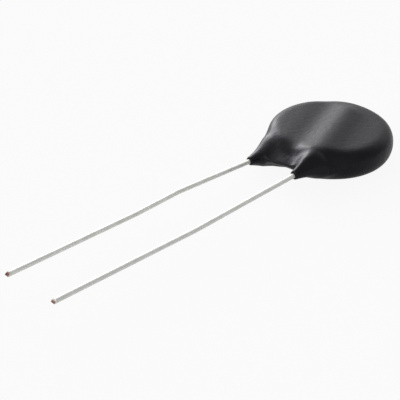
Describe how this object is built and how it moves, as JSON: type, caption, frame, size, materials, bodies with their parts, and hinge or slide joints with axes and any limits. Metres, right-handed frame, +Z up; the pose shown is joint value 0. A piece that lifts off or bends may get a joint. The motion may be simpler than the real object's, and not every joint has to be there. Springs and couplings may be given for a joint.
{
  "type": "metal oxide varistor",
  "caption": "Radial disc varistor: a dipped coated disc with a soft slanting ridge and two long straight wire leads with cut ends.",
  "frame": {"origin": "middle of the underside of the part's bounding box, lying flat", "axes": "+Z up through the disc's thickness, leads running along -Y, +X towards the top lead's side"},
  "size_m": [0.022, 0.0752, 0.007],
  "materials": {
    "coating": "dipped epoxy, satin, faint orange peel",
    "ceramic": "sintered zinc oxide, matt dark grey",
    "silver": "fired silver paste, dull white",
    "solder": "soft solder, satin grey",
    "tinned_wire": "tin plated copper wire, bright, copper bare at the cut ends"
  },
  "bodies": {
    "root": {"coating": "coating", "ceramic_disc": "ceramic", "top_electrode": "silver", "bottom_electrode": "silver", "top_solder_joint": "solder", "bottom_solder_joint": "solder", "top_lead": "tinned_wire", "bottom_lead": "tinned_wire"}
  },
  "joints": []
}
